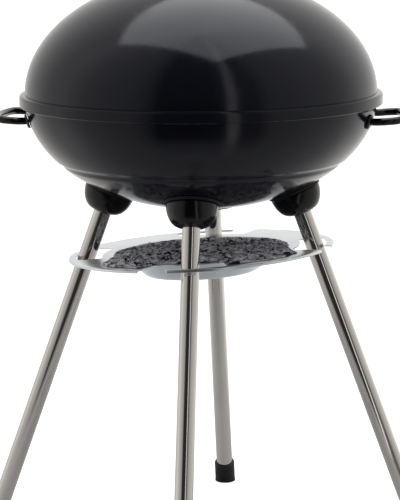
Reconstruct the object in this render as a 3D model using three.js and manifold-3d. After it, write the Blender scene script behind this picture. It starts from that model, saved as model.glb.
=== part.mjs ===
// A kettle charcoal grill: a black enamelled steel bowl and lid, four splayed stainless legs in
// moulded sockets, and an ash tray that hangs on the legs by four bayonet hooks.
// Millimetres, +Z up. The origin is on the ground at the middle of the bounding box, which is also
// the bowl's axis. The legs stand on -Y (front), +X (right), +Y (back) and -X (left).
import * as THREE from "three";
import { mergeVertices } from "three/addons/utils/BufferGeometryUtils.js";
import Module from "manifold-3d";

const wasm = await Module();
wasm.setup();

// ---------- driving dimensions ----------
const GAP = 0.3; // kept between pieces that touch
const ROUND = 36; // facets round the large turned pieces
const DEG = Math.PI / 180;

const RIM_Z = 730; // height of the bowl's mouth
const BOWL_R = 276; // outer radius at the mouth
const BOWL_DEPTH = 176;
const SHEET = 1.6; // enamelled steel, with its coats
const RING_DROP = 104; // the pressed groove whose inside ridge holds the charcoal grate, below the mouth
const RING_STEP = 2; // depth of the groove
const RING_BAND = 13; // height of the groove
const BEAD_R = 4; // rolled edge of the mouth

const LID_HEIGHT = 185; // dome only
const LID_SKIRT = 16;
const LID_SKIRT_GAP = 3; // between the skirt and the bowl's rolled edge

const SPLAY = 20; // degrees that each leg leans out
const SOCKET_R = 146; // where a leg's axis meets the bowl's skin
const SOCKET_TOP_R = 40;
const SOCKET_LENGTH = 38;
const GASKET = { r: 42.5, thick: 4.2 }; // keeps the bowl's heat from the socket
const TUBE_R = 14;
const TUBE_WALL = 1.5;
const TUBE_ENTRY = 22; // how far a tube goes into its socket
const BOLT_R = 4;
const FOOT = { r: 17.5, grip: 30, lift: 12 };

// It hangs a little askew: low on the left by its tilt, and low at the back by its pitch.
const TRAY = { r: 210.7, drop: 244.9, thick: 1.4, lip: 4, tilt: 3.4, pitch: 1.5, shift: -2 };
const DISH = { rimR: 126, floorR: 84, depth: 35 };
// Each bayonet slot: its radii, and its mouth, hook tip and closed end in degrees from the leg.
const SLOT = { innerR: 156, outerR: 199, mouth: -20.5, tip: -9.3, heel: 18 };
const ASH_TOP = 13; // height of the heap over the tray
const ASH_LEAN = 0.07; // the heap slopes down to the back by this much

const COOKING_GRATE = { r: 252, wire: 3, bar: 2, pitch: 26, drop: 24 };
const CHARCOAL_GRATE = { wire: 3.2, bar: 2.6, pitch: 34 };
const VENT = { count: 4, r: 12, pitchR: 37, discR: 53 };

// ---------- helpers ----------
// A mesh geometry as a manifold-3d solid.
function solid(geometry) {
  const plain = geometry.clone();
  for (const name of Object.keys(plain.attributes)) if (name !== "position") plain.deleteAttribute(name);
  const merged = mergeVertices(plain, 1e-4);
  return new wasm.Manifold(
    new wasm.Mesh({
      numProp: 3,
      vertProperties: new Float32Array(merged.attributes.position.array),
      triVerts: new Uint32Array(merged.index.array),
    }),
  );
}

// A solid back as a mesh geometry.
function geometryOf(manifold) {
  const mesh = manifold.getMesh();
  const vertices = new Float32Array(mesh.numVert * 3);
  for (let i = 0; i < mesh.numVert; i++) {
    vertices.set(mesh.vertProperties.subarray(i * mesh.numProp, i * mesh.numProp + 3), i * 3);
  }
  const geometry = new THREE.BufferGeometry();
  geometry.setAttribute("position", new THREE.BufferAttribute(vertices, 3));
  geometry.setIndex(new THREE.BufferAttribute(new Uint32Array(mesh.triVerts), 1));
  return geometry;
}

// A profile of [radius, height] pairs turned about Z. It starts and ends on the axis, or closes on itself.
function turned(profile, segments) {
  let area = 0;
  profile.forEach(([r, z], i) => {
    const [r2, z2] = profile[(i + 1) % profile.length];
    area += r * z2 - r2 * z;
  });
  const ordered = area > 0 ? profile : [...profile].reverse();
  const points = ordered.map(([r, z]) => new THREE.Vector2(r, z));
  if (points[0].x > 0) points.push(points[0].clone());
  return new THREE.LatheGeometry(points, segments).rotateX(Math.PI / 2);
}

// The same path moved sideways by t, to its left as it runs.
function offsetPath(path, t) {
  return path.map(([r, z], i) => {
    const [ra, za] = path[Math.max(i - 1, 0)];
    const [rb, zb] = path[Math.min(i + 1, path.length - 1)];
    const length = Math.hypot(rb - ra, zb - za);
    return [Math.max(0, r - ((zb - za) / length) * t), z + ((rb - ra) / length) * t];
  });
}

// A sheet shell: a path from the axis outwards, thickened to its left.
function shell(path, t, segments) {
  const other = offsetPath(path, t);
  other[0][0] = path[0][0];
  return turned([...path, ...other.reverse()], segments);
}

function cylinder(radius, height, segments = 20) {
  return new THREE.CylinderGeometry(radius, radius, height, segments).rotateX(Math.PI / 2);
}

// A rod of round section along a smooth curve through points.
function rod(points, radius, steps, sides = 8) {
  const curve = new THREE.CatmullRomCurve3(points.map((p) => new THREE.Vector3(...p)), false, "centripetal");
  const section = new THREE.Shape();
  for (let i = 0; i < sides; i++) {
    const a = (2 * Math.PI * i) / sides;
    section[i ? "lineTo" : "moveTo"](radius * Math.cos(a), radius * Math.sin(a));
  }
  section.closePath();
  return new THREE.ExtrudeGeometry(section, { steps, bevelEnabled: false, extrudePath: curve });
}

// A flat outline in the plane z = 0, pushed up to a height.
function plate(points, height) {
  const shape = new THREE.Shape(points.map(([x, y]) => new THREE.Vector2(x, y)));
  return new THREE.ExtrudeGeometry(shape, { depth: height, bevelEnabled: false });
}

// An annular sector between two radii and two angles in degrees, standing through z = 0.
function sector(rIn, rOut, from, to, height) {
  const steps = Math.max(2, Math.ceil(Math.abs(to - from) / 5));
  const arc = (r, a, b) =>
    Array.from({ length: steps + 1 }, (_, i) => {
      const angle = (a + ((b - a) * i) / steps) * DEG;
      return [r * Math.cos(angle), r * Math.sin(angle)];
    });
  return plate([...arc(rOut, from, to), ...arc(rIn, to, from)], height).translate(0, 0, -height / 2);
}

const smooth = (t) => {
  const s = Math.min(1, Math.max(0, t));
  return s * s * (3 - 2 * s);
};
const sum = (solids) => solids.reduce((a, b) => a.add(b));
const finish = (color, roughness, metalness) =>
  new THREE.MeshStandardMaterial({ color, roughness, metalness });

const ENAMEL = finish(0x17181b, 0.18, 0.0);
const PLASTIC = finish(0x141416, 0.38, 0.0);
const STAINLESS = finish(0xb9b4ad, 0.16, 1.0);
const GALVANISED = finish(0xccd2d5, 0.36, 0.9);
const CHROME_WIRE = finish(0xb4b6b8, 0.22, 1.0);
const ZINC = finish(0xa9abad, 0.32, 1.0);
const RUBBER = finish(0x121212, 0.8, 0.0);
const ASH = finish(0x5a5964, 0.95, 0.0);

const grill = new THREE.Group();
function add(name, geometry, material, parent = grill) {
  const mesh = new THREE.Mesh(geometry, material);
  mesh.name = name;
  parent.add(mesh);
  return mesh;
}

// ---------- bowl ----------
const RING_Z = RIM_Z - RING_DROP;

// A point of the bowl's outer skin at angle t from the bottom, and its outward normal.
function bowlSkin(t) {
  const r = BOWL_R * Math.sin(t);
  const z = RIM_Z - BOWL_DEPTH * Math.cos(t);
  const n = new THREE.Vector2(BOWL_DEPTH * Math.sin(t), -BOWL_R * Math.cos(t)).normalize();
  const inset = RING_STEP * smooth(1 - Math.abs(z - RING_Z) / (RING_BAND / 2));
  return { r: r - n.x * inset, z: z - n.y * inset, n };
}

// The skin's height at a radius, for pieces that lie against the bowl.
function bowlZ(radius) {
  let low = 0;
  let high = Math.PI / 2;
  for (let i = 0; i < 40; i++) {
    const mid = (low + high) / 2;
    if (bowlSkin(mid).r < radius) low = mid;
    else high = mid;
  }
  return bowlSkin(low).z;
}

// The skin's radius at a height.
function bowlR(height) {
  let low = 0;
  let high = Math.PI / 2;
  for (let i = 0; i < 40; i++) {
    const mid = (low + high) / 2;
    if (bowlSkin(mid).z < height) low = mid;
    else high = mid;
  }
  return bowlSkin(low).r;
}

function bowlPath() {
  const ringAngle = Math.acos(RING_DROP / BOWL_DEPTH);
  const angles = [0, 10, 20, 30, 39, 47].map((a) => a * DEG);
  for (const d of [-2, 0, 2]) angles.push(ringAngle + d * DEG);
  angles.push(...[64, 73, 82, 90].map((a) => a * DEG));
  return angles.map((t) => [bowlSkin(t).r, bowlSkin(t).z]);
}

// The leg's line: where it meets the skin, and its direction down and out.
const SOCKET_Z = bowlZ(SOCKET_R);
const LEGS = { front: -90, right: 0, back: 90, left: 180 };

// A group whose -Z runs down the leg, with its origin where the leg's axis meets the skin.
function legFrame(azimuth) {
  const turn = new THREE.Group();
  turn.rotation.z = azimuth * DEG;
  const lean = new THREE.Group();
  lean.position.set(SOCKET_R, 0, SOCKET_Z);
  lean.rotation.y = -SPLAY * DEG;
  turn.add(lean);
  grill.add(turn);
  turn.updateMatrixWorld(true);
  return lean;
}
const frames = {};
for (const [side, azimuth] of Object.entries(LEGS)) frames[side] = legFrame(azimuth);
grill.updateMatrixWorld(true);

const HANDLE = { reach: 44, half: 62, dropZ: 34, rodR: 6 };
const handleAngle = Math.asin(HANDLE.half / BOWL_R);
const screwSpots = [0, Math.PI].flatMap((side) => [side - handleAngle, side + handleAngle]);

// A cylinder standing on the bowl's skin at a height, along the skin's own normal.
function onSkin(geometry, azimuth, height, out) {
  const t = Math.acos((RIM_Z - height) / BOWL_DEPTH);
  const { r, z, n } = bowlSkin(t);
  const lean = Math.atan2(n.x, n.y);
  return geometry
    .rotateY(lean)
    .translate(r + n.x * out, 0, z + n.y * out)
    .rotateZ(azimuth);
}

function makeBowl() {
  const skin = bowlPath();
  const bead = [-50, 10, 70, 130, 190].map((a) => [
    BOWL_R + BEAD_R * 0.1 + BEAD_R * Math.cos(a * DEG),
    RIM_Z + BEAD_R * Math.sin(a * DEG),
  ]);
  const inside = offsetPath(skin, SHEET).reverse();
  inside[inside.length - 1][0] = 0;
  let bowl = solid(turned([...skin.slice(0, -1), ...bead, ...inside.slice(1)], ROUND));
  const holes = [cylinder(BOLT_R, 60, 12).translate(0, 0, RIM_Z - BOWL_DEPTH)];
  for (let i = 0; i < VENT.count; i++) {
    const a = ((i + 0.5) * 2 * Math.PI) / VENT.count;
    const hole = cylinder(VENT.r, 60, 16);
    holes.push(hole.translate(VENT.pitchR * Math.cos(a), VENT.pitchR * Math.sin(a), RIM_Z - BOWL_DEPTH));
  }
  for (const frame of Object.values(frames)) {
    holes.push(cylinder(BOLT_R + 0.5, 40, 12).applyMatrix4(frame.matrixWorld));
  }
  for (const azimuth of screwSpots) {
    holes.push(onSkin(cylinder(2.8, 14, 10), azimuth, RIM_Z - HANDLE.dropZ, 0));
  }
  bowl = bowl.subtract(sum(holes.map(solid)));
  return geometryOf(bowl);
}
add("bowl", makeBowl(), ENAMEL);

// Everything inside the bowl's skin, grown by a gap: what a socket or gasket is cut back to.
const bowlCore = solid(turned([...offsetPath(bowlPath(), -GAP), [0, RIM_Z]], ROUND));

// ---------- legs ----------
function socketProfile() {
  // A rounded cup: nearly straight at the bowl, round at the shoulder, and flat round the tube.
  const cup = [[0, 26], [SOCKET_TOP_R, 26], [SOCKET_TOP_R, 0]];
  const bends = [[0.99, 0.25], [0.95, 0.46], [0.86, 0.66], [0.72, 0.84], [0.56, 0.955], [0.43, 1]];
  for (const [share, down] of bends) {
    cup.push([SOCKET_TOP_R * share, -SOCKET_LENGTH * down]);
  }
  return [...cup, [0, -SOCKET_LENGTH]];
}

// Cuts a piece given in a leg's frame back to the bowl, leaving room of some extra thickness.
function cutToBowl(piece, frame, extra) {
  const lower = new THREE.Matrix4().makeTranslation(0, 0, -extra);
  const toLeg = lower.multiply(frame.matrixWorld.clone().invert());
  return piece.subtract(bowlCore.transform(toLeg.elements));
}

const TUBE_TOP = -SOCKET_LENGTH + TUBE_ENTRY;
const LEG_LENGTH = SOCKET_Z / Math.cos(SPLAY * DEG);
const BOLT_DEPTH = 12; // threaded end below the skin

for (const [side, frame] of Object.entries(frames)) {
  let socket = solid(turned(socketProfile(), 20));
  const bore = cylinder(TUBE_R + GAP, TUBE_ENTRY + GAP + 10, 20);
  bore.translate(0, 0, TUBE_TOP + GAP - (TUBE_ENTRY + GAP + 10) / 2);
  const boltHole = cylinder(BOLT_R + GAP, 60, 12).translate(0, 0, 30 - BOLT_DEPTH - GAP);
  socket = cutToBowl(socket, frame, GASKET.thick + GAP).subtract(solid(bore)).subtract(solid(boltHole));
  add("leg_socket_" + side, geometryOf(socket), PLASTIC, frame);

  // A thin gasket follows the skin between the bowl and the socket.
  const blank = solid(cylinder(GASKET.r, 30, 20));
  const hole = solid(cylinder(BOLT_R + GAP, 40, 12));
  const under = solid(cylinder(GASKET.r + 5, 60, 20));
  let gasket = cutToBowl(blank, frame, 0);
  const shifted = cutToBowl(under, frame, GASKET.thick);
  gasket = gasket.subtract(shifted).subtract(hole);
  const pieces = gasket.decompose().sort((a, b) => b.volume() - a.volume());
  add("socket_gasket_" + side, geometryOf(pieces[0]), RUBBER, frame);

  // The bolt comes down from inside the bowl: a domed head, and a shank into the socket.
  const headUp = SHEET + 2.6;
  const bolt = turned(
    [
      [0, headUp + 4.5], [4.5, headUp + 4], [8, headUp + 1.6], [8.5, headUp], [BOLT_R, headUp],
      [BOLT_R, -BOLT_DEPTH], [0, -BOLT_DEPTH],
    ],
    16,
  );
  add("leg_bolt_" + side, bolt, ZINC, frame);

  // A stainless tube, cut square at the top and parallel to the ground at the foot.
  const long = LEG_LENGTH + 40;
  const outer = solid(cylinder(TUBE_R, long, 20).translate(0, 0, TUBE_TOP - long / 2));
  const inner = solid(cylinder(TUBE_R - TUBE_WALL, long + 10, 20).translate(0, 0, TUBE_TOP - long / 2));
  const toLeg = frame.matrixWorld.clone().invert();
  const groundBlock = (top) =>
    solid(new THREE.BoxGeometry(1200, 1200, 200).translate(0, 0, top - 100)).transform(toLeg.elements);
  const tube = outer.subtract(inner).subtract(groundBlock(FOOT.lift));
  add("leg_tube_" + side, geometryOf(tube), STAINLESS, frame);

  // The foot cap grips the tube's end and is flat on the ground.
  const capTop = -LEG_LENGTH + FOOT.lift + FOOT.grip;
  const capBody = turned(
    [
      [0, capTop], [FOOT.r - 2, capTop], [FOOT.r, capTop - 3],
      [FOOT.r + 1.5, -LEG_LENGTH - 20], [0, -LEG_LENGTH - 20],
    ],
    28,
  );
  const seat = solid(cylinder(TUBE_R + GAP, long, 28).translate(0, 0, capTop + 5 - long / 2));
  const seatBlock = seat.subtract(groundBlock(FOOT.lift - GAP));
  const cap = solid(capBody).subtract(seatBlock).subtract(groundBlock(0));
  add("foot_cap_" + side, geometryOf(cap), RUBBER, frame);
}

// ---------- ash tray ----------
const tray = new THREE.Group();
tray.position.set(TRAY.shift, 0, RIM_Z - TRAY.drop);
tray.rotation.order = "YXZ";
tray.rotation.y = -TRAY.tilt * DEG;
tray.rotation.x = -TRAY.pitch * DEG;
grill.add(tray);

// The dish's upper surface, from its middle out to the flat ring.
function dishPath() {
  const path = [[0, -DISH.depth], [DISH.floorR * 0.5, -DISH.depth]];
  const steps = 5;
  for (let i = 0; i <= steps; i++) {
    const share = i / steps;
    const r = DISH.floorR + (DISH.rimR - DISH.floorR) * share;
    path.push([r, -DISH.depth * (1 - smooth(share))]);
  }
  return path;
}

function makeTray() {
  const top = [...dishPath(), [(DISH.rimR + TRAY.r) / 2, 0], [TRAY.r, 0]];
  const under = offsetPath(top, -TRAY.thick).reverse();
  under[under.length - 1][0] = 0;
  under[0] = [TRAY.r - TRAY.thick, -TRAY.thick];
  const lip = [[TRAY.r, -TRAY.lip], [TRAY.r - TRAY.thick, -TRAY.lip]];
  let body = solid(turned([...top, ...lip, ...under], ROUND));
  for (const azimuth of Object.values(LEGS)) {
    const cuts = [
      sector(SLOT.innerR, SLOT.outerR, SLOT.mouth, SLOT.heel, 30),
      sector(SLOT.innerR + 1, TRAY.r + 20, SLOT.mouth, SLOT.tip, 30),
    ];
    for (const cut of cuts) body = body.subtract(solid(cut.rotateZ(azimuth * DEG)));
  }
  return geometryOf(body);
}
add("ash_tray", makeTray(), GALVANISED, tray);

// The heap of ash: its outline by direction in degrees, as radii. It stays inside every slot.
const ASH_OUTLINE = [
  [-180, 140], [-162, 142], [-150, 160], [-141, 182], [-131, 194], [-114, 196], [-110, 152], [-90, 149],
  [-76, 151], [-70, 190], [-58, 196], [-44, 196], [-32, 188], [-23, 160], [-12, 146], [0, 140], [30, 132],
  [60, 121], [90, 121], [120, 128], [150, 132],
];
function ashRadius(degrees) {
  const spots = [...ASH_OUTLINE, [180, ASH_OUTLINE[0][1]]];
  for (let i = 1; i < spots.length; i++) {
    if (degrees <= spots[i][0]) {
      const share = (degrees - spots[i - 1][0]) / (spots[i][0] - spots[i - 1][0]);
      return spots[i - 1][1] + (spots[i][1] - spots[i - 1][1]) * smooth(share);
    }
  }
  return spots[0][1];
}
// A lumpy mound with a flat underside, cut back to the tray's upper surface.
function makeAsh() {
  const rings = 6;
  const around = 36;
  const floor = -DISH.depth - 6;
  const positions = [0, 0, ASH_TOP, 0, 0, floor];
  const index = [];
  for (let i = 1; i <= rings; i++) {
    for (let j = 0; j < around; j++) {
      const degrees = -180 + (360 * j) / around;
      const share = i / rings;
      const r = ashRadius(degrees) * share;
      const [x, y] = [r * Math.cos(degrees * DEG), r * Math.sin(degrees * DEG)];
      const top = 3 + (ASH_TOP - 3) * (1 - share ** 1.5) - ASH_LEAN * Math.max(0, y);
      positions.push(x, y, top, x, y, floor);
    }
  }
  const at = (i, j) => 2 + ((i - 1) * around + (j % around)) * 2;
  for (let j = 0; j < around; j++) {
    index.push(0, at(1, j), at(1, j + 1), 1, at(1, j + 1) + 1, at(1, j) + 1);
    for (let i = 1; i < rings; i++) {
      const [a, b, c, d] = [at(i, j), at(i + 1, j), at(i + 1, j + 1), at(i, j + 1)];
      index.push(a, b, c, a, c, d, a + 1, c + 1, b + 1, a + 1, d + 1, c + 1);
    }
    const [e, f] = [at(rings, j), at(rings, j + 1)];
    index.push(e, e + 1, f + 1, e, f + 1, f);
  }
  const mound = new THREE.BufferGeometry();
  mound.setAttribute("position", new THREE.Float32BufferAttribute(positions, 3));
  mound.setIndex(index);
  const top = dishPath().map(([r, z]) => [r, z + GAP]);
  const bed = turned([...top, [TRAY.r + 20, GAP], [TRAY.r + 20, floor - 10], [0, floor - 10]], ROUND);
  return geometryOf(solid(mound).subtract(solid(bed)));
}
add("ash_heap", makeAsh(), ASH, tray);

// ---------- bottom damper ----------
// A dished disc under the bowl with the bowl's own holes, and a lever between the back and left legs.
const DAMPER_GAP = 0.8;
const LEVER = { azimuth: 112.5, half: 6, reach: 128, drop: 8 };
function makeDamper() {
  const radii = [0, 18, 36, VENT.discR];
  const top = radii.map((r) => [r, bowlZ(r) - DAMPER_GAP]);
  const disc = solid(shell(top, -1.5, ROUND));
  const lever = [];
  const steps = 6;
  for (let i = 0; i <= steps; i++) {
    const x = VENT.discR - 8 + ((LEVER.reach - VENT.discR + 8) * i) / steps;
    lever.push([x, bowlZ(x) - DAMPER_GAP - 0.2 - LEVER.drop * smooth((i - 1) / (steps - 1))]);
  }
  const strip = [...lever, ...lever.map(([x, z]) => [x, z - 1.5]).reverse()];
  const arm = plate(strip, 2 * LEVER.half).rotateX(Math.PI / 2).translate(0, LEVER.half, 0);
  let damper = disc.add(solid(arm.rotateZ(LEVER.azimuth * DEG)));
  const holes = [cylinder(BOLT_R + GAP, 60, 12).translate(0, 0, RIM_Z - BOWL_DEPTH)];
  for (let i = 0; i < VENT.count; i++) {
    const a = ((i + 0.5) * 2 * Math.PI) / VENT.count;
    const hole = cylinder(VENT.r, 60, 16);
    holes.push(hole.translate(VENT.pitchR * Math.cos(a), VENT.pitchR * Math.sin(a), RIM_Z - BOWL_DEPTH));
  }
  damper = damper.subtract(sum(holes.map(solid)));
  return geometryOf(damper);
}
add("bottom_damper", makeDamper(), ENAMEL);

// The pivot bolt holds the damper up against the bowl: a head inside, a nut below.
const bottomZ = bowlZ(0);
const pivotR = BOLT_R - GAP;
add(
  "damper_pivot_bolt",
  turned(
    [
      [0, bottomZ + SHEET + 5], [5, bottomZ + SHEET + 4.4], [8, bottomZ + SHEET + 0.6],
      [pivotR, bottomZ + SHEET + 0.6],
      [pivotR, bottomZ - DAMPER_GAP - 2], [8, bottomZ - DAMPER_GAP - 2], [8, bottomZ - DAMPER_GAP - 5],
      [0, bottomZ - DAMPER_GAP - 5],
    ],
    16,
  ),
  ZINC,
);

// ---------- grates ----------
// A ring of wire with parallel bars welded inside it.
function grate(ringR, wire, bar, pitch, sides) {
  const ringProfile = Array.from({ length: 6 }, (_, i) => {
    const a = (2 * Math.PI * i) / 6;
    return [ringR + wire * Math.cos(a), wire * Math.sin(a)];
  });
  const parts = [solid(turned(ringProfile, ROUND))];
  const count = Math.floor((ringR - wire * 2) / pitch);
  for (let i = -count; i <= count; i++) {
    const half = Math.sqrt(ringR ** 2 - (i * pitch) ** 2);
    const wireBar = new THREE.CylinderGeometry(bar, bar, 2 * half, sides).rotateZ(Math.PI / 2);
    parts.push(solid(wireBar.translate(0, i * pitch, 0)));
  }
  return parts;
}

// The lifting loops stand up near both sides of the cooking grate, from the bars beside the middle one.
const LOOP = { r: 226, rise: 18, wire: 2.6 };
const grateLoop = (side) => {
  const [end, bend] = [COOKING_GRATE.pitch, COOKING_GRATE.pitch * 0.8];
  const path = [
    [0, -end, 0], [-1, -end, LOOP.rise * 0.6], [-3, -bend, LOOP.rise * 0.93], [-4, 0, LOOP.rise],
    [-3, bend, LOOP.rise * 0.93], [-1, end, LOOP.rise * 0.6], [0, end, 0],
  ];
  return solid(rod(path, LOOP.wire, 12, 6).translate(LOOP.r, 0, 0).rotateZ(side * Math.PI));
};
const cookingZ = RIM_Z - COOKING_GRATE.drop;
{
  const { r, wire, bar, pitch } = COOKING_GRATE;
  const parts = [...grate(r, wire, bar, pitch, 5), grateLoop(0), grateLoop(1)];
  for (const x of [-90, 90]) {
    const half = Math.sqrt(r ** 2 - x ** 2);
    const cross = new THREE.CylinderGeometry(bar + 0.5, bar + 0.5, 2 * half, 6).translate(x, 0, -2);
    parts.push(solid(cross));
  }
  add("cooking_grate", geometryOf(sum(parts)).translate(0, 0, cookingZ), CHROME_WIRE);
}
const charcoalZ = RING_Z + 5;
{
  const { wire, bar, pitch } = CHARCOAL_GRATE;
  const ringR = bowlR(charcoalZ - wire) - SHEET * 1.6 - wire - 1;
  const parts = grate(ringR, wire, bar, pitch, 5);
  for (const x of [-70, 70]) {
    const half = Math.sqrt(ringR ** 2 - x ** 2);
    parts.push(solid(new THREE.CylinderGeometry(bar, bar, 2 * half, 6).translate(x, 0, -2)));
  }
  add("charcoal_grate", geometryOf(sum(parts)).translate(0, 0, charcoalZ), ZINC);
}

// Four bent tabs carry the cooking grate. Each has a leg along the wall and a shelf under the wire.
for (let i = 0; i < 4; i++) {
  const azimuth = (45 + 90 * i) * DEG;
  const shelfZ = cookingZ - COOKING_GRATE.wire - GAP;
  const wallR = bowlR(shelfZ - 16) - SHEET - 2.4;
  const tab = plate(
    [
      [wallR, shelfZ - 16], [wallR, shelfZ], [COOKING_GRATE.r - 9, shelfZ], [COOKING_GRATE.r - 9, shelfZ - 2],
      [wallR - 2, shelfZ - 2], [wallR - 2, shelfZ - 16],
    ],
    20,
  );
  tab.rotateX(Math.PI / 2).translate(0, 10, 0).rotateZ(azimuth);
  add("grate_bracket_" + (i + 1), tab, ZINC);
}

// ---------- bowl handles ----------
["right", "left"].forEach((side, k) => {
  const at = (azimuth, out, dz) => {
    const r = bowlR(RIM_Z - HANDLE.dropZ) + out;
    return [r * Math.cos(azimuth), r * Math.sin(azimuth), RIM_Z - HANDLE.dropZ + dz];
  };
  const a = handleAngle;
  const path = [
    at(-a, 3, 0), at(-a, 14, 0), at(-a * 0.98, 28, 1), at(-a * 0.82, HANDLE.reach, 2),
    at(-a * 0.4, HANDLE.reach + 5, 2), at(0, HANDLE.reach + 6, 2), at(a * 0.4, HANDLE.reach + 5, 2),
    at(a * 0.82, HANDLE.reach, 2), at(a * 0.98, 28, 1), at(a, 14, 0), at(a, 3, 0),
  ];
  const parts = [solid(rod(path, HANDLE.rodR, 16, 6))];
  for (const end of [-a, a]) {
    const pad = onSkin(cylinder(12, 4, 20), end, RIM_Z - HANDLE.dropZ, GAP + 2.4);
    parts.push(solid(pad));
  }
  const screwHole = (end) => solid(onSkin(cylinder(2.8, 60, 10), end, RIM_Z - HANDLE.dropZ, -20));
  const screwHoles = [-a, a].map(screwHole);
  const handle = sum(parts).subtract(sum(screwHoles)).subtract(bowlCore);
  add("side_handle_" + side, geometryOf(handle).rotateZ(k * Math.PI), PLASTIC);
});
screwSpots.forEach((azimuth, i) => {
  const screw = turned([[0, 4], [4, 3.4], [6, 0.4], [6, 0], [2.4, 0], [2.4, -10], [0, -10]], 14);
  // Its head is inside the bowl, so it stands along the normal the other way.
  const placed = onSkin(screw.rotateX(Math.PI), azimuth, RIM_Z - HANDLE.dropZ, -SHEET - 2.2);
  add("side_handle_screw_" + (i + 1), placed, ZINC);
});

// ---------- lid ----------
const lid = new THREE.Group();
lid.position.z = RIM_Z + BEAD_R + GAP;
grill.add(lid);
const lidSkin = (t) => [BOWL_R * Math.sin(t), LID_HEIGHT * Math.cos(t)];
const LID_VENT = { r: 118, holeR: 9, pitchR: 21, discR: 36 };
const ventAngle = Math.asin(LID_VENT.r / BOWL_R);
const ventTilt = Math.atan2(LID_HEIGHT * Math.sin(ventAngle), BOWL_R * Math.cos(ventAngle));
const LID_HANDLE = { half: 55, rise: 46, rodR: 9.5 };

// The lid's vent frame: +Z is out of the lid's skin, at the back.
const vent = new THREE.Group();
vent.position.set(0, lidSkin(ventAngle)[0], lidSkin(ventAngle)[1]);
vent.rotation.x = -ventTilt;
lid.add(vent);
grill.updateMatrixWorld(true);
const ventInLid = vent.matrix.clone();

function makeLid() {
  const skirtR = BOWL_R + BEAD_R + LID_SKIRT_GAP + SHEET;
  const dome = [0, 11, 22, 33, 44, 55, 66, 77, 90].map((a) => lidSkin(a * DEG));
  const insideDome = offsetPath(dome, -SHEET).reverse();
  insideDome[insideDome.length - 1][0] = 0;
  insideDome[0] = [BOWL_R - SHEET, 0];
  const edge = [
    [skirtR - 3, SHEET], [skirtR, -2], [skirtR, -LID_SKIRT],
    [skirtR - SHEET, -LID_SKIRT], [skirtR - SHEET, 0],
  ];
  dome[dome.length - 1] = [BOWL_R, SHEET];
  let body = solid(turned([...dome, ...edge, ...insideDome], ROUND));
  const holes = [];
  for (let i = 0; i < 4; i++) {
    const a = ((i + 0.5) * Math.PI) / 2;
    const hole = cylinder(LID_VENT.holeR, 40, 12);
    hole.translate(LID_VENT.pitchR * Math.cos(a), LID_VENT.pitchR * Math.sin(a), 0);
    holes.push(hole.applyMatrix4(ventInLid));
  }
  holes.push(cylinder(3.2, 40, 10).applyMatrix4(ventInLid));
  for (const x of [-LID_HANDLE.half, LID_HANDLE.half]) {
    holes.push(cylinder(3.2, 60, 10).translate(x, 0, LID_HEIGHT));
  }
  body = body.subtract(sum(holes.map(solid)));
  return geometryOf(body);
}
add("lid", makeLid(), ENAMEL, lid);

// The vent's turning disc stands just off the curved skin, on a rivet.
function makeLidDamper() {
  const sag = 2.2;
  const profile = [
    [0, sag], [LID_VENT.discR - 5, sag], [LID_VENT.discR, sag - 1], [LID_VENT.discR, sag + 0.4],
    [LID_VENT.discR - 5, sag + 1.4], [0, sag + 1.4],
  ];
  let disc = solid(turned(profile, 28));
  const tab = new THREE.BoxGeometry(16, 2, 14).translate(LID_VENT.discR - 12, 0, sag + 1.2 + 7);
  disc = disc.add(solid(tab));
  const holes = [cylinder(3.2, 40, 10)];
  for (let i = 0; i < 4; i++) {
    const a = ((i + 0.5) * Math.PI) / 2;
    const hole = cylinder(LID_VENT.holeR, 40, 12);
    holes.push(hole.translate(LID_VENT.pitchR * Math.cos(a), LID_VENT.pitchR * Math.sin(a), 0));
  }
  return geometryOf(disc.subtract(sum(holes.map(solid))));
}
add("lid_damper", makeLidDamper(), GALVANISED, vent);
add(
  "lid_damper_rivet",
  turned(
    [
      [0, 7], [4, 6.4], [6, 4.2], [2.8, 4.2],
      [2.8, -SHEET - 1.4], [6, -SHEET - 1.4], [6, -SHEET - 3], [0, -SHEET - 3],
    ],
    14,
  ),
  ZINC,
  vent,
);

// The lid's handle: an arched grip on two posts, each held by a screw from inside.
function lidSkinZ(x) {
  return LID_HEIGHT * Math.sqrt(1 - (x / BOWL_R) ** 2);
}
const postZ = lidSkinZ(LID_HANDLE.half + 14) + GAP;
function makeLidHandle() {
  const { half, rise, rodR } = LID_HANDLE;
  const top = LID_HEIGHT + rise;
  const path = [
    [-half, 0, LID_HEIGHT + 2], [-half, 0, top - 24], [-half + 8, 0, top - 8],
    [-half + 26, 0, top - 1], [0, 0, top + 1],
    [half - 26, 0, top - 1], [half - 8, 0, top - 8], [half, 0, top - 24], [half, 0, LID_HEIGHT + 2],
  ];
  const parts = [solid(rod(path, rodR, 18, 8))];
  for (const x of [-half, half]) {
    parts.push(solid(cylinder(13, 14, 20).translate(x, 0, LID_HEIGHT + 2)));
  }
  const dome = [0, 11, 22, 33].map((a) => lidSkin(a * DEG)).map(([r, z]) => [r, z + GAP]);
  const core = solid(turned([...dome, [dome[3][0], 0], [0, 0]], ROUND));
  const bores = [-half, half].map((x) => solid(cylinder(2.7, 70, 10).translate(x, 0, LID_HEIGHT - 15)));
  return geometryOf(sum(parts).subtract(core).subtract(sum(bores)));
}
add("lid_handle", makeLidHandle(), PLASTIC, lid);
[-1, 1].forEach((sign, i) => {
  const x = sign * LID_HANDLE.half;
  const under = lidSkinZ(x) - SHEET - 3;
  const screw = turned(
    [
      [0, under - 4], [4, under - 3.4], [7, under - 0.4], [7, under],
      [2.4, under], [2.4, under + 18], [0, under + 18],
    ],
    14,
  );
  add("lid_handle_screw_" + (i + 1), screw.translate(x, 0, 0), ZINC, lid);
});

export default grill;
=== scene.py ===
"""Looks for the kettle charcoal grill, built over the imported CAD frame. Metres, +Z up."""

import math
import random

import bmesh
import bpy
from mathutils import Matrix, Vector, noise


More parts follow.
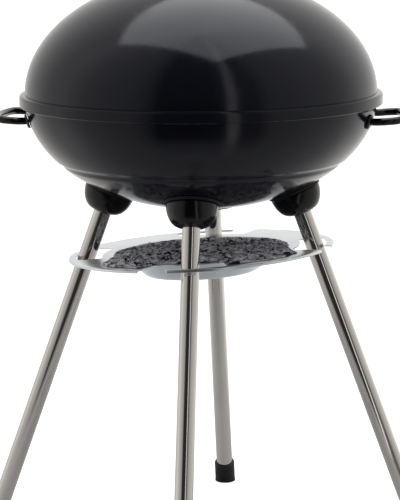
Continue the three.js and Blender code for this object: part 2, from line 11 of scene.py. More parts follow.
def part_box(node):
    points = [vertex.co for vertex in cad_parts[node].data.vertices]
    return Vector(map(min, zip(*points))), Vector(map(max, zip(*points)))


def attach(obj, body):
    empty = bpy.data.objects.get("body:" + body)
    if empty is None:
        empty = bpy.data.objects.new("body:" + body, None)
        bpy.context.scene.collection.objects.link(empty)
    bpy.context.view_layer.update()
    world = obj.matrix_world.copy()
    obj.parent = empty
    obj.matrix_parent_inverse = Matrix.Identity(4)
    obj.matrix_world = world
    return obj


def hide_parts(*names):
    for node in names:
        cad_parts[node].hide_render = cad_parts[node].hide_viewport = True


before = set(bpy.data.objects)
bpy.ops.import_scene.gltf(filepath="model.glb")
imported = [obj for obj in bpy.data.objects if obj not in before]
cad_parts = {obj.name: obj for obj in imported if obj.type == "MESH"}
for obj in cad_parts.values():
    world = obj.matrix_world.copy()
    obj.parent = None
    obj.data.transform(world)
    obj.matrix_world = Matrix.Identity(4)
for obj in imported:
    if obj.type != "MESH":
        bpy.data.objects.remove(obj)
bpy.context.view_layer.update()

TAU = 2 * math.pi
DEG = math.pi / 180
MM = 0.001
WELD = 1e-6

# ---------- sizes, in metres, as in the CAD ----------
BOWL_R, BOWL_DEPTH, SHEET = 0.276, 0.176, 0.0016
RING_DROP, RING_STEP, RING_BAND = 0.104, 0.002, 0.013
BEAD_R = 0.004
RIM_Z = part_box("bowl")[0][2] + BOWL_DEPTH
RING_Z = RIM_Z - RING_DROP
LID_HEIGHT, LID_SKIRT = 0.185, 0.016
LID_Z = RIM_Z + BEAD_R + 0.0003
SPLAY, SOCKET_R = 20 * DEG, 0.146
SOCKET_TOP_R, SOCKET_LENGTH, GASKET_R, GASKET_THICK = 0.040, 0.038, 0.0425, 0.0042
GASKET_HOLE_R, GAP = 0.005, 0.0003
TUBE_R, TUBE_WALL, TUBE_ENTRY = 0.014, 0.0015, 0.022
BOLT_R, BOLT_DEPTH = 0.004, 0.012
FOOT_R, FOOT_LENGTH, TUBE_END_Z = 0.0175, 0.030, 0.012
TRAY_R, TRAY_DROP, TRAY_THICK, TRAY_SHIFT = 0.2107, 0.2449, 0.0014, -0.002
TRAY_TILT, TRAY_PITCH = 3.4 * DEG, 1.5 * DEG
DISH_RIM, DISH_FLOOR, DISH_DEPTH = 0.126, 0.084, 0.035
VENT_R, VENT_PITCH, DAMPER_R = 0.012, 0.037, 0.053
VENT_LOW, VENT_HIGH = RIM_Z - 0.25, RIM_Z - 0.1
LID_VENT_R, LID_VENT_PITCH, LID_VENT_DEEP = 0.009, 0.021, 0.02
LEGS = {"front": -90, "right": 0, "back": 90, "left": 180}


def smooth(t):
    t = min(1.0, max(0.0, t))
    return t * t * (3 - 2 * t)


# ---------- mesh helpers ----------
def new_mesh(name, verts, faces, weld=True):
    """A mesh with its faces pointing out."""
    mesh = bpy.data.meshes.new(name)
    mesh.from_pydata([tuple(v) for v in verts], [], faces)
    bm = bmesh.new()
    bm.from_mesh(mesh)
    if weld:
        bmesh.ops.remove_doubles(bm, verts=bm.verts, dist=WELD)
    bmesh.ops.recalc_face_normals(bm, faces=bm.faces)
    bm.to_mesh(mesh)
    bm.free()
    return mesh


def new_object(name, data):
    piece = bpy.data.objects.new(name, data)
    bpy.context.scene.collection.objects.link(piece)
    return piece


def make(name, verts, faces, body, nodes=(), slot=None, material=None, matrix=None, sharp=35):
    """A smooth-shaded piece that rides a body and stands for some CAD nodes."""
    mesh = new_mesh(name, verts, faces)
    if matrix is not None:
        mesh.transform(matrix)
    dress(new_object(name, mesh), body, nodes, slot, material, sharp)


def dress(piece, body, nodes, slot, material, sharp):
    piece.data.shade_smooth()
    piece.data.set_sharp_from_angle(angle=sharp * DEG)
    if material:
        piece.data.materials.clear()
        piece.data.materials.append(material)
    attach(piece, body)
    if nodes:
        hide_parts(*nodes)


def round_at(radius, i, count):
    """The i-th of count points evenly round a circle."""
    return radius * math.cos(TAU * i / count), radius * math.sin(TAU * i / count)


def lathe(profile, segments=160):
    """Vertices and faces of (radius, height) points turned about Z. Open ends lie on the axis."""
    verts, faces, rows = [], [], []
    for r, z in profile:
        if r < 1e-7:
            rows.append([len(verts)] * segments)
            verts.append((0, 0, z))
        else:
            rows.append(list(range(len(verts), len(verts) + segments)))
            verts += [(*round_at(r, i, segments), z) for i in range(segments)]
    pairs = list(zip(rows, rows[1:]))
    if profile[0][0] > 1e-7:
        pairs.append((rows[-1], rows[0]))
    for a, b in pairs:
        for i in range(segments):
            j = (i + 1) % segments
            face = [a[i], a[j], b[j], b[i]]
            face = [v for k, v in enumerate(face) if v != face[k - 1]]
            if len(face) > 2:
                faces.append(face)
    return verts, faces


def curve_points(points, per):
    """Points of a smooth line through the given ones."""
    pts = [Vector(p) for p in points]
    n = len(pts)
    out = []
    for i in range(n - 1):
        p0, p1, p2, p3 = pts[max(i - 1, 0)], pts[i], pts[i + 1], pts[min(i + 2, n - 1)]
        for k in range(per):
            t = k / per
            out.append(
                0.5 * (2 * p1 + (p2 - p0) * t + (2 * p0 - 5 * p1 + 4 * p2 - p3) * t * t
                       + (3 * p1 - p0 - 3 * p2 + p3) * t**3)
            )
    out.append(pts[-1])
    return out


def sweep(points, radius, sides, closed=False):
    """A round bar along a line. radius may be a function of the share of the line."""
    size = radius if callable(radius) else (lambda s: radius)
    n = len(points)
    verts, faces, up = [], [], None
    for i, p in enumerate(points):
        a = points[i - 1] if closed or i else points[0]
        b = points[(i + 1) % n] if closed or i < n - 1 else points[-1]
        along = (b - a).normalized()
        if up is None:
            up = along.cross(Vector((0, 0, 1)) if abs(along.z) < 0.9 else Vector((1, 0, 0))).normalized()
        up = (up - along * up.dot(along)).normalized()
        side = along.cross(up)
        r = size(i / (n - 1))
        for k in range(sides):
            t = TAU * k / sides
            verts.append(p + up * (r * math.cos(t)) + side * (r * math.sin(t)))
    for i in range(n if closed else n - 1):
        for k in range(sides):
            a, b = i * sides, ((i + 1) % n) * sides
            faces.append([a + k, a + (k + 1) % sides, b + (k + 1) % sides, b + k])
    if not closed:
        faces.append(list(range(sides)))
        faces.append(list(range((n - 1) * sides, n * sides)))
    return verts, faces


def prism(outline, low, high):
    n = len(outline)
    verts = [(x, y, low) for x, y in outline] + [(x, y, high) for x, y in outline]
    faces = [list(range(n))[::-1], list(range(n, 2 * n))]
    faces += [[i, (i + 1) % n, n + (i + 1) % n, n + i] for i in range(n)]
    return verts, faces


def joined(*parts):
    verts, faces = [], []
    for v, f in parts:
        base = len(verts)
        verts += [tuple(p) for p in v]
        faces += [[i + base for i in face] for face in f]
    return verts, faces


def moved(part, matrix):
    verts, faces = part
    return [tuple(matrix @ Vector(v)) for v in verts], faces


def cut(piece, cutters):
    """Takes solids away from a piece, and keeps the result as its mesh."""
    for verts, faces in cutters:
        tool = new_object("cutter", new_mesh("cutter", verts, faces, weld=False))
        step = piece.modifiers.new("cut", "BOOLEAN")
        step.operation, step.solver, step.object = "DIFFERENCE", "EXACT", tool
        bpy.context.view_layer.update()
        result = bpy.data.meshes.new_from_object(piece.evaluated_get(bpy.context.evaluated_depsgraph_get()))
        piece.modifiers.clear()
        old = piece.data
        piece.data = result
        bpy.data.meshes.remove(old)
        bpy.data.objects.remove(tool)


def bored(name, part, cutters, *, body, nodes, slot, material, matrix=None, sharp=35):
    """A piece with solids taken away, made before it is given to a body."""
    piece = new_object(name, new_mesh(name, *part))
    cut(piece, cutters)
    if matrix is not None:
        piece.data.transform(matrix)
    dress(piece, body, nodes, slot, material, sharp)


def rod(radius, low, high, x=0.0, y=0.0, segments=48):
    around = [round_at(radius, i, segments) for i in range(segments)]
    return prism([(x + dx, y + dy) for dx, dy in around], low, high)


def offset(path, t):
    """The same (radius, height) path moved to its left."""
    out = []
    for i, (r, z) in enumerate(path):
        ra, za = path[max(i - 1, 0)]
        rb, zb = path[min(i + 1, len(path) - 1)]
        length = math.hypot(rb - ra, zb - za)
        out.append((max(0.0, r - (zb - za) / length * t), z + (rb - ra) / length * t))
    return out


# ---------- materials ----------
class Paint:
    """A node material that starts with a Principled shader."""

    def __init__(self, name, color, roughness, metallic=0.0, **inputs):
        self.material = bpy.data.materials.new(name)
        self.material.use_nodes = True
        self.nodes = self.material.node_tree.nodes
        self.shader = self.nodes["Principled BSDF"]
        self.set("Base Color", (*color, 1))
        self.set("Roughness", roughness)
        self.set("Metallic", metallic)
        for key, value in inputs.items():
            self.set(key.replace("_", " ").title().replace("Ior", "IOR"), value)
        self.coords = self.nodes.new("ShaderNodeTexCoord").outputs["Object"]
        self.bump = None

    def set(self, name, value):
        self.shader.inputs[name].default_value = value

    def link(self, a, b):
        self.material.node_tree.links.new(a, b)

    def noise(self, scale, detail=4, stretch=(1, 1, 1), rough=0.55):
        place = self.nodes.new("ShaderNodeMapping")
        place.inputs["Scale"].default_value = stretch
        tex = self.nodes.new("ShaderNodeTexNoise")
        tex.inputs["Scale"].default_value = scale
        tex.inputs["Detail"].default_value = detail
        tex.inputs["Roughness"].default_value = rough
        self.link(self.coords, place.inputs["Vector"])
        self.link(place.outputs["Vector"], tex.inputs["Vector"])
        return tex.outputs["Fac"]

    def cells(self, scale):
        tex = self.nodes.new("ShaderNodeTexVoronoi")
        tex.inputs["Scale"].default_value = scale
        self.link(self.coords, tex.inputs["Vector"])
        return tex

    def ramp(self, value, stops):
        node = self.nodes.new("ShaderNodeValToRGB")
        ramp = node.color_ramp
        while len(ramp.elements) < len(stops):
            ramp.elements.new(0.5)
        for element, (at, color) in zip(ramp.elements, stops):
            element.position = at
            element.color = (*color, 1) if isinstance(color, tuple) else (color, color, color, 1)
        self.link(value, node.inputs["Fac"])
        return node.outputs["Color"]

    def rough(self, value, low, high):
        self.link(self.ramp(value, [(0.3, low), (0.7, high)]), self.shader.inputs["Roughness"])

    def color(self, value):
        self.link(value, self.shader.inputs["Base Color"])

    def relief(self, value, distance, strength=1.0):
        node = self.nodes.new("ShaderNodeBump")
        node.inputs["Distance"].default_value = distance
        node.inputs["Strength"].default_value = strength
        self.link(value, node.inputs["Height"])
        if self.bump:
            self.link(self.bump, node.inputs["Normal"])
        self.bump = node.outputs["Normal"]
        self.link(self.bump, self.shader.inputs["Normal"])


def enamel():
    p = Paint(
        "enamel", (0.0060, 0.0066, 0.0110), 0.12, specular_ior_level=0.27, specular_tint=(0.92, 0.94, 1.0, 1),
    )
    p.rough(p.noise(55, 5), 0.10, 0.17)
    p.color(p.ramp(p.noise(9, 4), [(0.3, (0.0054, 0.0060, 0.0100)), (0.7, (0.0066, 0.0072, 0.0120))]))
    p.relief(p.noise(160, 2), 0.00006, 0.35)
    p.relief(p.cells(900).outputs["Distance"], 0.00001, 0.2)
    return p.material


def plastic():
    p = Paint("plastic", (0.0022, 0.0022, 0.0026), 0.2, specular_ior_level=0.32)
    p.rough(p.noise(90, 4), 0.14, 0.20)
    p.relief(p.cells(1500).outputs["Distance"], 0.00004, 0.35)
    p.relief(p.noise(40, 3), 0.0001, 0.12)
    return p.material


def stainless():
    p = Paint("stainless", (0.60, 0.585, 0.56), 0.07, 1.0)
    lines = p.noise(30, 6, (60, 60, 1.5))
    p.rough(lines, 0.05, 0.10)
    p.color(p.ramp(p.noise(12, 4, (1, 1, 0.5)), [(0.3, (0.575, 0.56, 0.535)), (0.7, (0.62, 0.605, 0.58))]))
    p.relief(lines, 0.00001, 0.10)
    return p.material


def galvanised():
    p = Paint("galvanised", (0.68, 0.72, 0.745), 0.26, 1.0)
    grain = p.cells(70)
    p.color(p.ramp(grain.outputs["Color"], [(0.2, (0.665, 0.705, 0.73)), (0.8, (0.70, 0.74, 0.765))]))
    p.rough(p.noise(18, 2), 0.27, 0.31)
    return p.material


def plated(name, color, low, high):
    p = Paint(name, color, low, 1.0)
    p.rough(p.noise(70, 5), low, high)
    p.relief(p.noise(120, 4), 0.00003, 0.2)
    return p.material


def rubber():
    p = Paint("rubber", (0.011, 0.011, 0.0115), 0.62, specular_ior_level=0.4)
    p.rough(p.noise(80, 5), 0.55, 0.72)
    p.relief(p.noise(500, 4), 0.00005, 0.5)
    return p.material


# The middle colour is painted shade. It darkens spots to stand in for the shade in the heap's voids.
ASH_FLAKE, ASH_VOID_SHADE, ASH_BROWN = (1.0, 0.98, 0.98), (0.015, 0.013, 0.022), (0.62, 0.26, 0.18)


def ash():
    p = Paint("ash", (0.1, 0.1, 0.12), 0.95, specular_ior_level=0.25)
    grains = p.cells(190)
    # The darkest stop of this ramp is painted shade for the heap's voids. The pale stops are the ash's own
    # colour.
    tone_with_void_shade = p.ramp(
        p.noise(82, 8, rough=0.8),
        [(0.42, (0.012, 0.011, 0.020)), (0.46, (0.24, 0.235, 0.30)), (0.51, (0.76, 0.76, 0.87)),
         (0.57, (1.0, 1.0, 1.0))],
    )
    # Pale flakes, spots of painted shade for the dark hollows, and a few brown bits, each in its own size of
    # grain.
    for size, share, tint in ((125, 0.80, ASH_FLAKE), (95, 0.80, ASH_VOID_SHADE), (75, 0.965, ASH_BROWN)):
        spot = p.ramp(p.cells(size).outputs["Color"], [(share, 0.0), (share + 0.01, 1.0)])
        mix = p.nodes.new("ShaderNodeMix")
        mix.data_type = "RGBA"
        mix.inputs["B"].default_value = (*tint, 1)
        p.link(spot, mix.inputs["Factor"])
        p.link(tone_with_void_shade, mix.inputs["A"])
        tone_with_void_shade = mix.outputs["Result"]
    p.color(tone_with_void_shade)
    p.relief(p.noise(220, 8, rough=0.7), 0.0025, 0.9)
    p.relief(grains.outputs["Distance"], 0.0015, 0.7)
    return p.material


ENAMEL, PLASTIC, STAINLESS, GALVANISED = enamel(), plastic(), stainless(), galvanised()
CHROME = plated("plated_wire", (0.58, 0.59, 0.60), 0.14, 0.26)
ZINC = plated("zinc", (0.50, 0.51, 0.52), 0.24, 0.38)
RUBBER, ASH = rubber(), ash()


# ---------- bowl ----------
def bowl_skin(t):
    r, z = BOWL_R * math.sin(t), RIM_Z - BOWL_DEPTH * math.cos(t)
    nx, nz = BOWL_DEPTH * math.sin(t), -BOWL_R * math.cos(t)
    length = math.hypot(nx, nz)
    nx, nz = nx / length, nz / length
    inset = RING_STEP * smooth(1 - abs(z - RING_Z) / (RING_BAND / 2))
    return r - nx * inset, z - nz * inset, nx, nz


def skin_at(value, index):
    """The skin's point whose radius (0) or height (1) has a value."""
    low, high = 0.0, math.pi / 2
    for _ in range(40):
        mid = (low + high) / 2
        if bowl_skin(mid)[index] < value:
            low = mid
        else:
            high = mid
    return bowl_skin(low)


def bowl_z(radius):
    return skin_at(radius, 0)[1]


def bowl_r(height):
    return skin_at(height, 1)[0]


SOCKET_Z = bowl_z(SOCKET_R)
LEG_LENGTH = SOCKET_Z / math.cos(SPLAY)


def leg_matrix(side):
    turn = Matrix.Rotation(LEGS[side] * DEG, 4, "Z")
    return turn @ Matrix.Translation((SOCKET_R, 0, SOCKET_Z)) @ Matrix.Rotation(-SPLAY, 4, "Y")


def on_skin(azimuth, height, out):
    """Places a thing with its +Z along the skin's normal, at a height."""
    t = math.acos((RIM_Z - height) / BOWL_DEPTH)
    r, z, nx, nz = bowl_skin(t)
    return (
        Matrix.Rotation(azimuth, 4, "Z")
        @ Matrix.Translation((r + nx * out, 0, z + nz * out))
        @ Matrix.Rotation(math.atan2(nx, nz), 4, "Y")
    )


def vent_holes(radius, pitch, low, high):
    for i in range(4):
        a = (i + 0.5) * TAU / 4
        yield rod(radius, low, high, pitch * math.cos(a), pitch * math.sin(a))


ring_angle = math.acos(RING_DROP / BOWL_DEPTH)
angles = sorted(
    [i * 2.5 * DEG for i in range(37)] + [ring_angle + i * 0.35 * DEG for i in range(-10, 11) if i]
)
skin = [bowl_skin(t)[:2] for t in angles]
bead = [
    (BOWL_R + BEAD_R * 0.1 + BEAD_R * math.cos(a * DEG), RIM_Z + BEAD_R * math.sin(a * DEG))
    for a in range(-50, 200, 12)
]
inside = offset(skin, SHEET)[::-1]
inside[-1] = (0.0, inside[-1][1])
bored(
    "bowl_shell", lathe(skin[:-1] + bead + inside[1:], 192),
    vent_holes(VENT_R, VENT_PITCH, VENT_LOW, VENT_HIGH),
    body="stand", nodes=["bowl"], slot="enamel", material=ENAMEL,
)


# ---------- legs ----------
def down_to_skin(matrix, x, y):
    """How far up a leg's own Z the bowl's skin is, above a point of its plane."""
    low, high = -0.06, 0.06
    for _ in range(36):
        mid = (low + high) / 2
        p = matrix @ Vector((x, y, mid))
        if math.hypot(p.x, p.y) > bowl_r(min(p.z, RIM_Z)) or p.z < bowl_z(0):
            low = mid
        else:
            high = mid
    return low


def fitted(side, rings, segments=96):
    """A cup or disc whose upper face follows the bowl.

    rings are (radius, height or None, drop): with None the height is the skin's, less the drop.
    """
    matrix = leg_matrix(side)
    verts, faces = [], []
    for i in range(segments):
        a = TAU * i / segments
        for r, z, drop in rings:
            x, y = r * math.cos(a), r * math.sin(a)
            verts.append((x, y, z if z is not None else down_to_skin(matrix, x, y) - drop))
    n = len(rings)
    for i in range(segments):
        a, b = i * n, ((i + 1) % segments) * n
        for k in range(n - 1):
            faces.append([a + k, b + k, b + k + 1, a + k + 1])
    return verts, faces


CUP_HOLE_R, CUP_HOLE_TOP, CUP_LINE_STEP = 0.0145, -0.014, 0.0004
# The cup's outline from its mouth round the tube upwards: radius, and share of the socket's length.
CUP = [
    (CUP_HOLE_R, 1.0), (0.0165, 1.0), (0.0195, 0.978), (0.0235, 0.939), (0.0275, 0.875), (0.0312, 0.778),
    (0.0343, 0.653), (0.0368, 0.514), (0.0386, 0.361), (0.0397, 0.208), (0.0400, 0.12),
]

for side in LEGS:
    matrix = leg_matrix(side)
    outer = curve_points([(r, 0, -share * SOCKET_LENGTH) for r, share in CUP], 4)
    under_gasket = GASKET_THICK + 0.0002
    rings = [(CUP_HOLE_R, CUP_HOLE_TOP, 0)] + [(p.x, p.z, 0) for p in outer]
    rings += [
        (SOCKET_TOP_R, None, under_gasket + 0.0010), (SOCKET_TOP_R - 0.0007, None, under_gasket),
        (0.03, None, under_gasket), (0.012, None, under_gasket), (CUP_HOLE_R, CUP_HOLE_TOP, 0),
    ]
    # The wall must stay below the bowl where it slopes down past the cup's shoulder.
    verts, faces = fitted(side, rings)
    n = len(rings)
    for i in range(0, len(verts), n):
        shoulder_z = verts[i + n - 5][2]
        for k in range(1, len(outer) + 1):
            px, py, pz = verts[i + k]
            verts[i + k] = (px, py, min(pz, shoulder_z - CUP_LINE_STEP * (n - 5 - k)))
    make(f"socket_{side}", verts, faces, "stand", [f"leg_socket_{side}"], "plastic", PLASTIC, matrix, 50)

    rings = [
        (GASKET_HOLE_R, None, GAP), (GASKET_R - 0.0006, None, GAP), (GASKET_R, None, 0.0008),
        (GASKET_R, None, GASKET_THICK - 0.0004), (GASKET_R - 0.0006, None, GASKET_THICK),
        (GASKET_HOLE_R, None, GASKET_THICK), (GASKET_HOLE_R, None, GAP),
    ]
    verts, faces = fitted(side, rings)
    make(f"gasket_{side}", verts, faces, "stand", [f"socket_gasket_{side}"], "rubber", RUBBER, matrix, 50)

    head = SHEET + 0.0026
    dome = [
        (0.0, head + 0.0045), (0.003, head + 0.0043), (0.0058, head + 0.0033), (0.0077, head + 0.0017),
        (0.0084, head + 0.0004), (0.0084, head), (BOLT_R, head), (BOLT_R, -BOLT_DEPTH), (0.0, -BOLT_DEPTH),
    ]
    make(f"bolt_{side}", *lathe(dome, 64), "stand", [f"leg_bolt_{side}"], "zinc", ZINC, matrix)

    # The tube, cut level just above the ground.
    top = -SOCKET_LENGTH + TUBE_ENTRY

    def level(x, y, height, matrix=matrix, row=matrix.to_3x3().row[2]):
        """How far along the leg's own Z a height above the ground is."""
        return (height - matrix.translation.z - row[0] * x - row[1] * y) / row[2]

    verts, faces, n = [], [], 96
    for radius in (TUBE_R, TUBE_R - TUBE_WALL):
        for share in (0, 0.25, 0.5, 0.75, 1):
            for i in range(n):
                x, y = round_at(radius, i, n)
                verts.append((x, y, top + (level(x, y, TUBE_END_Z) - top) * share))
    for block in (0, 5):
        for k in range(4):
            for i in range(n):
                a, b, j = (block + k) * n, (block + k + 1) * n, (i + 1) % n
                faces.append([a + i, a + j, b + j, b + i])
    for k in (0, 4):
        for i in range(n):
            a, b, j = k * n, (k + 5) * n, (i + 1) % n
            faces.append([a + i, a + j, b + j, b + i])
    make(f"tube_{side}", verts, faces, "stand", [f"leg_tube_{side}"], "stainless", STAINLESS, matrix)

    # The foot cap: a ribbed rubber sleeve, flat on the ground.
    high = -LEG_LENGTH + TUBE_END_Z + FOOT_LENGTH
    sleeve = [(TUBE_R + 0.0002, 0.10), (TUBE_R + 0.0002, 0.0), (0.0158, 0.0), (0.0170, 0.02), (FOOT_R, 0.06)]
    for i in range(6):
        base = 0.18 + i * 0.11
        groove = FOOT_R - 0.0008
        sleeve += [(FOOT_R, base), (groove, base + 0.02), (groove, base + 0.045), (FOOT_R, base + 0.065)]
    sleeve += [(FOOT_R + 0.0004, 0.92), (FOOT_R + 0.0002, 0.985), (FOOT_R - 0.0008, 1.0), (0.0, 1.0)]
    verts, faces, m = [], [], len(sleeve)
    for i in range(n):
        for r, share in sleeve:
            x, y = round_at(r, i, n)
            verts.append((x, y, high + (level(x, y, 0.0) - high) * share))
    for i in range(n):
        a, b = i * m, ((i + 1) % n) * m
        faces += [[a + k, b + k, b + k + 1, a + k + 1] for k in range(m - 1)]
    make(f"foot_{side}", verts, faces, "stand", [f"foot_cap_{side}"], "rubber", RUBBER, matrix)


# ---------- ash tray ----------
TRAY = (
    Matrix.Translation((TRAY_SHIFT, 0, RIM_Z - TRAY_DROP))
    @ Matrix.Rotation(-TRAY_TILT, 4, "Y")
    @ Matrix.Rotation(-TRAY_PITCH, 4, "X")
)
SLOT_MID_R, SLOT_PAST_RIM = 0.180, 0.240


def dish_z(r):
    share = (r - DISH_FLOOR) / (DISH_RIM - DISH_FLOOR)
    return -DISH_DEPTH * (1 - smooth(share))


def rounded(corners, steps=8):
    """A closed outline of (x, y, fillet radius) corners."""
    out = []
    n = len(corners)
    for i, (x, y, r) in enumerate(corners):
        p = Vector((x, y))
        a = (Vector(corners[i - 1][:2]) - p).normalized()
        b = (Vector(corners[(i + 1) % n][:2]) - p).normalized()
        if r <= 0:
            out.append(p)
            continue
        half = a.angle(b) / 2
        reach = r / math.tan(half)
        centre = p + (a + b).normalized() * (r / math.sin(half))
        start, end = p + a * reach - centre, p + b * reach - centre
        turn = start.angle_signed(end)
        for k in range(steps + 1):
            t = -turn * k / steps
            out.append(centre + Vector((start.x * math.cos(t) - start.y * math.sin(t),
                                        start.x * math.sin(t) + start.y * math.cos(t))))
    return out


def slot_outline(azimuth):
    """One bayonet slot. It is drawn flat, as degrees round the tray against radius, then bent round."""
    reach = SLOT_MID_R * DEG
    corners = [
        (-20.5, 0.156, 12), (18.0, 0.158, 10), (18.0, 0.199, 9), (-9.3, 0.199, 5), (-9.3, 0.2070, 4),
        (-7.4, 0.2140, 0), (-7.4, SLOT_PAST_RIM, 0), (-22.4, SLOT_PAST_RIM, 0), (-22.4, 0.2140, 0),
        (-20.5, 0.2060, 5),
    ]
    flat = rounded([(a * reach, r, f * MM) for a, r, f in corners])
    fine = []
    for i, p in enumerate(flat):
        q = flat[(i + 1) % len(flat)]
        steps = max(1, int((q - p).length / 0.004))
        fine += [p.lerp(q, k / steps) for k in range(steps)]
    bent = [(p.y, azimuth + p.x / SLOT_MID_R) for p in fine]
    return [(r * math.cos(a), r * math.sin(a)) for r, a in bent]


DISH_STEPS, bend = 28, TRAY_THICK
slope = [DISH_FLOOR + (DISH_RIM - DISH_FLOOR) * i / DISH_STEPS for i in range(DISH_STEPS + 1)]
top = [(0.0, -DISH_DEPTH), (0.03, -DISH_DEPTH), (0.06, -DISH_DEPTH)] + [(r, dish_z(r)) for r in slope]
under = offset(top, -TRAY_THICK)[::-1]
under[-1] = (0.0, under[-1][1])
top += [(0.15, 0.0), (0.18, 0.0), (0.20, 0.0), (TRAY_R - bend, 0.0)]
top += [(TRAY_R - bend + bend * math.sin(a * DEG), -bend + bend * math.cos(a * DEG)) for a in (30, 60, 90)]
lip = [
    (TRAY_R, -0.0036), (TRAY_R - 0.0004, -0.004), (TRAY_R - 0.0012, -0.0038), (TRAY_R - bend, -TRAY_THICK),
    (0.18, -TRAY_THICK),
]
bored(
    "tray_sheet", lathe(top + lip + under, 192),
    [prism(slot_outline(a * DEG), -0.02, 0.02) for a in LEGS.values()],
    body="ash_tray", nodes=["ash_tray"], slot="galvanised", material=GALVANISED, matrix=TRAY, sharp=30,
)

# ---------- ash ----------
# Degrees round the tray against the heap's radius in millimetres.
ASH_OUTLINE = [
    (-180, 140), (-162, 142), (-150, 160), (-141, 182), (-131, 194), (-114, 196), (-110, 152), (-90, 149),
    (-76, 151), (-70, 190), (-58, 196), (-44, 196), (-32, 188), (-23, 160), (-12, 146), (0, 140), (30, 132),
    (60, 121), (90, 121), (120, 128), (150, 132), (180, 140),
]
ASH_TOP, ASH_LEAN, ASH_LIFT = 0.013, 0.07, 0.0006


def ash_radius(degrees):
    for (a, ra), (b, rb) in zip(ASH_OUTLINE, ASH_OUTLINE[1:]):
        if degrees <= b:
            return (ra + (rb - ra) * smooth((degrees - a) / (b - a))) * MM
    return ASH_OUTLINE[-1][1] * MM


def ash_top(r, degrees):
    """Height of the heap over the tray, with lumps and crumbs."""
    edge = ash_radius(degrees)
    share = min(1.0, r / edge)
    x, y = r * math.cos(degrees * DEG), r * math.sin(degrees * DEG)
    body = 0.002 + (ASH_TOP - 0.004) * (1 - share**1.7) - ASH_LEAN * max(0.0, y)
    fade = smooth((1 - share) / 0.12)
    lumps = noise.fractal((x * 26, y * 26, 3.1), 1.0, 2.1, 4) * 0.0034
    lumps += noise.noise((x * 130, y * 130, 7.7)) * 0.0022 + noise.noise((x * 330, y * 330, 1.2)) * 0.0013
    cell = noise.voronoi((x * 95, y * 95, 0.4))[0][0]
    lumps += (0.35 - cell) * 0.0048
    return max(body + lumps * (0.25 + 0.75 * fade), dish_z(r) + 0.0012)


def build_ash():
    rings, around = 130, 420
    verts, faces = [(0, 0, ash_top(0, 0))], []
    for i in range(1, rings + 1):
        for j in range(around):
            degrees = -180 + 360 * j / around
            wobble = 1 + 0.018 * noise.noise((math.cos(degrees * DEG) * 9, math.sin(degrees * DEG) * 9, 0))
            r = ash_radius(degrees) * wobble * i / rings * 0.985
            z = ash_top(r, degrees) if i < rings else dish_z(r) + ASH_LIFT
            verts.append((r * math.cos(degrees * DEG), r * math.sin(degrees * DEG), z))
    verts.append((0, 0, -DISH_DEPTH + ASH_LIFT))
    for j in range(around):
        k = (j + 1) % around
        faces.append([0, 1 + j, 1 + k])
        for i in range(rings - 1):
            a, b = 1 + i * around, 1 + (i + 1) * around
            faces.append([a + j, b + j, b + k, a + k])
    # Its underside follows the dish.
    start = len(verts)
    inner = [0.124, 0.115, 0.105, 0.095, 0.084, 0.04]
    for r in inner:
        for j in range(around):
            a = (-180 + 360 * j / around) * DEG
            verts.append((r * math.cos(a), r * math.sin(a), dish_z(r) + ASH_LIFT))
    last = 1 + (rings - 1) * around
    rows = [last] + [start + i * around for i in range(len(inner))]
    for a, b in zip(rows, rows[1:]):
        faces += [[a + j, b + j, b + (j + 1) % around, a + (j + 1) % around] for j in range(around)]
    centre = start - 1
    faces += [[rows[-1] + j, centre, rows[-1] + (j + 1) % around] for j in range(around)]
    return verts, faces


def crumbs(count, seed):
    """Small angular lumps of coal and clinker on the heap."""
    rng = random.Random(seed)
    parts = []
    for _ in range(count):
        degrees = rng.uniform(-180, 180)
        r = ash_radius(degrees) * math.sqrt(rng.random()) * 0.94
        size = 0.0010 + 0.0036 * rng.random() ** 2.2
        bm = bmesh.new()
        bmesh.ops.create_icosphere(bm, subdivisions=1, radius=1.0)
        for v in bm.verts:
            v.co *= 0.75 + 0.5 * rng.random()
        turn = rng.uniform(0, TAU)
        axis = Vector((rng.gauss(0, 1), rng.gauss(0, 1), rng.gauss(0, 1))).normalized()
        spin = Matrix.Rotation(turn, 4, axis)
        scale = Matrix.Diagonal((size, size * rng.uniform(0.6, 1), size * rng.uniform(0.5, 0.9), 1))
        x, y = r * math.cos(degrees * DEG), r * math.sin(degrees * DEG)
        place = Matrix.Translation((x, y, ash_top(r, degrees) - size * 0.1))
        verts = [tuple(place @ spin @ scale @ v.co) for v in bm.verts]
        faces = [[v.index for v in f.verts] for f in bm.faces]
        bm.free()
        parts.append((verts, faces))
    return joined(*parts)


make("ash_bed", *build_ash(), "ash_tray", ["ash_heap"], "ash", ASH, TRAY, 180)
make("ash_crumbs", *crumbs(1100, seed=4), "ash_tray", [], "ash", ASH, TRAY, 20)

# ---------- bottom damper ----------
DAMPER_GAP, LEVER_AT, LEVER_REACH = 0.0008, 112.5 * DEG, 0.128
radii = [DAMPER_R * i / 16 for i in range(17)]
upper = [(r, bowl_z(max(r, 1e-4)) - DAMPER_GAP) for r in radii]
lower = offset(upper, -0.0015)[::-1]
lower[-1] = (0.0, lower[-1][1])
verts, faces = [], []
for i in range(25):
    x = DAMPER_R - 0.008 + (LEVER_REACH - DAMPER_R + 0.008) * i / 24
    z = bowl_z(x) - DAMPER_GAP - 0.0002 - 0.008 * smooth((i / 4 - 1) / 5)
    half = 0.006 if i < 22 else 0.006 * math.sqrt(max(0.05, 1 - ((i - 21) / 3.1) ** 2))
    verts += [(x, -half, z), (x, half, z), (x, half, z - 0.0015), (x, -half, z - 0.0015)]
for i in range(24):
    a = 4 * i
    faces += [[a + k, a + (k + 1) % 4, a + 4 + (k + 1) % 4, a + 4 + k] for k in range(4)]
faces += [[0, 1, 2, 3], [96, 97, 98, 99]]
